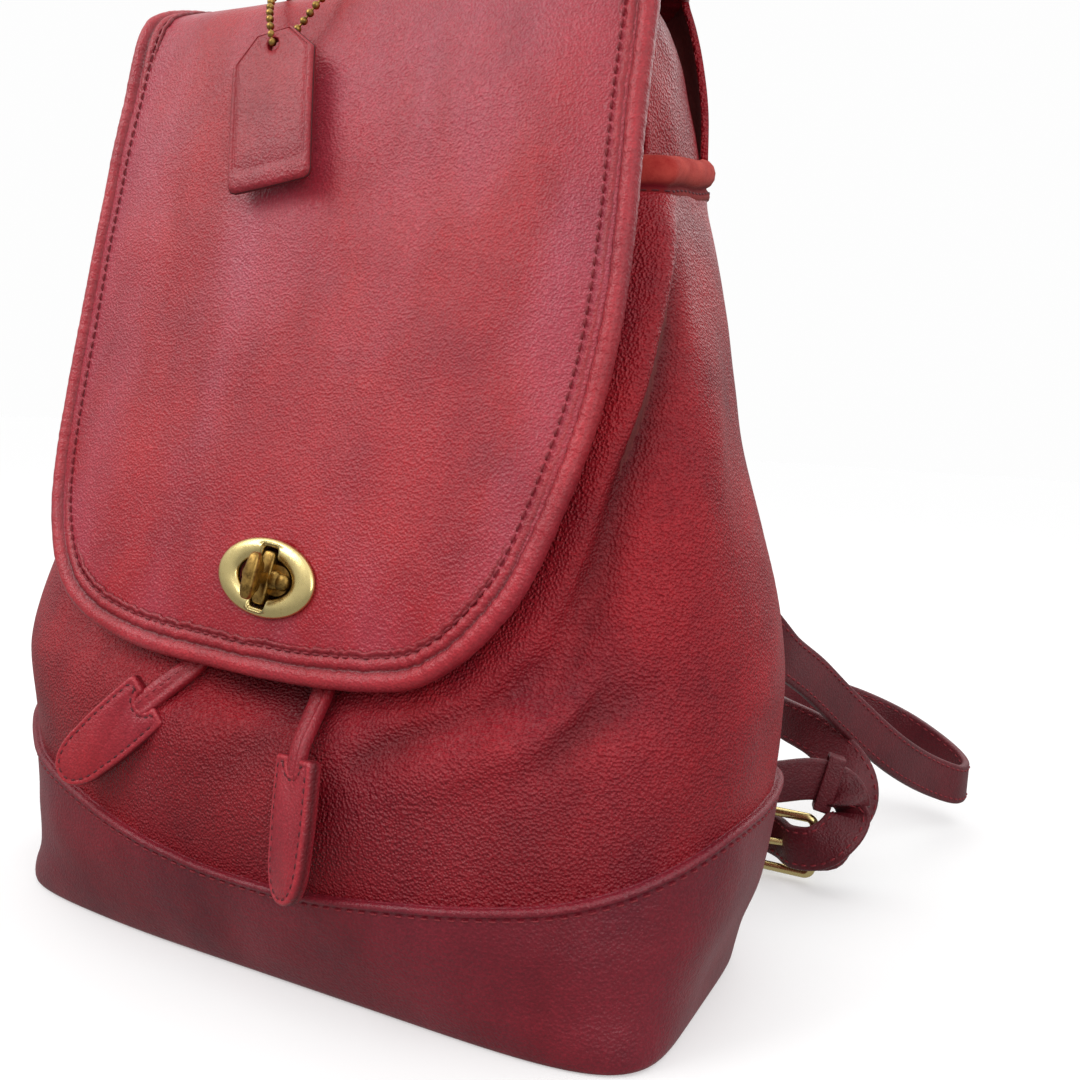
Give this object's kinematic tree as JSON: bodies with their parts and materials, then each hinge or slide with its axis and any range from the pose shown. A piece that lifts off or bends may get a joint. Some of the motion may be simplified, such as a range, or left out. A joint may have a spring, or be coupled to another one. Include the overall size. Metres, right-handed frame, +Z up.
{
  "type": "leather backpack",
  "caption": "Drawstring leather backpack with a long turnlock flap, base band, grab handle, buckled shoulder straps, pull tabs and a hang tag.",
  "frame": {"origin": "centre of the flat underside, on the surface that the bag stands on", "axes": "+X to the right of the bag as seen from its front, -Y to the front, +Z up"},
  "size_m": [0.3684, 0.3336, 0.368],
  "materials": {
    "leather_body": "glove-tanned full grain, satin, worn",
    "leather_trim": "smooth, burnished edges, stitched",
    "leather_strap": "smooth, darker, stitched",
    "leather_lining": "unfinished flesh side",
    "suede_edge": "napped and rubbed orange-red",
    "brass_bright": "polished, worn rim",
    "brass_antique": "aged, dark in the recesses",
    "board": "plain"
  },
  "bodies": {
    "bag": {"back_panel": "leather_body", "base_band_back": "leather_body", "base_band_front": "leather_body", "base_panel": "leather_body", "base_stiffener": "board", "flap_seam_strip": "leather_trim", "front_panel": "leather_body", "hem_band": "suede_edge", "left_buckle_frame": "brass_bright", "left_drawstring": "leather_trim", "left_lower_strap": "leather_strap", "left_shoulder_strap": "leather_strap", "left_strap_keeper": "leather_strap", "lock_post": "brass_antique", "lock_washer": "brass_antique", "right_buckle_frame": "brass_bright", "right_drawstring": "leather_trim", "right_lower_strap": "leather_strap", "right_shoulder_strap": "leather_strap", "right_strap_keeper": "leather_strap", "strap_patch": "leather_strap"},
    "knob": {"turn_knob": "brass_antique"},
    "yoke": {"yoke_panel": "leather_body", "yoke_lining": "leather_lining", "grab_handle": "leather_strap", "handle_studs": "brass_antique", "chain_over_top": "brass_antique"},
    "flap": {"flap_panel": "leather_body", "flap_lining": "leather_lining", "flap_binding": "leather_trim", "lock_plate": "brass_bright", "lock_plate_back": "brass_antique", "chain_at_tag": "brass_antique"},
    "tag": {"hang_tag": "leather_trim"},
    "right_tab": {"right_pull_tab": "leather_trim"},
    "left_tab": {"left_pull_tab": "leather_trim"},
    "right_tongue": {"right_buckle_tongue": "brass_bright"},
    "left_tongue": {"left_buckle_tongue": "brass_bright"}
  },
  "joints": [
    {"name": "yoke_lift", "type": "hinge", "parent": "bag", "child": "yoke", "pos_m": [0, 0.0575, 0.32], "axis": [-1, 0, 0], "range_deg": [0, 40]},
    {"name": "flap_fold", "type": "hinge", "parent": "yoke", "child": "flap", "pos_m": [0, -0.014, 0.3142], "axis": [-1, 0, 0], "range_deg": [0, 120]},
    {"name": "tag_swing", "type": "hinge", "parent": "flap", "child": "tag", "pos_m": [-0.031, -0.0273, 0.296], "axis": [-1, 0, 0], "range_deg": [0, 70]},
    {"name": "knob_turn", "type": "hinge", "parent": "bag", "child": "knob", "pos_m": [0, -0.061, 0.125], "axis": [0, -0.9799, 0.1994], "range_deg": [0, 90]},
    {"name": "right_drawstring_pull", "type": "slide", "parent": "bag", "child": "right_tab", "axis": [0.0499, -0.1997, -0.9786], "range_m": [0, 0.028], "deforming": ["right_drawstring"]},
    {"name": "left_drawstring_pull", "type": "slide", "parent": "bag", "child": "left_tab", "axis": [-0.6856, -0.2938, -0.666], "range_m": [0, 0.028], "deforming": ["left_drawstring"]},
    {"name": "right_buckle_tongue", "type": "hinge", "parent": "bag", "child": "right_tongue", "pos_m": [0.136, 0.11, 0.0149], "axis": [0, 0, 1], "range_deg": [0, 50]},
    {"name": "left_buckle_tongue", "type": "hinge", "parent": "bag", "child": "left_tongue", "pos_m": [-0.136, 0.11, 0.0149], "axis": [0, 0, -1], "range_deg": [0, 50]}
  ],
  "couplings": [
    {"joint": "yoke_lift", "follows": "flap_fold", "ratio": 0.33333}
  ]
}
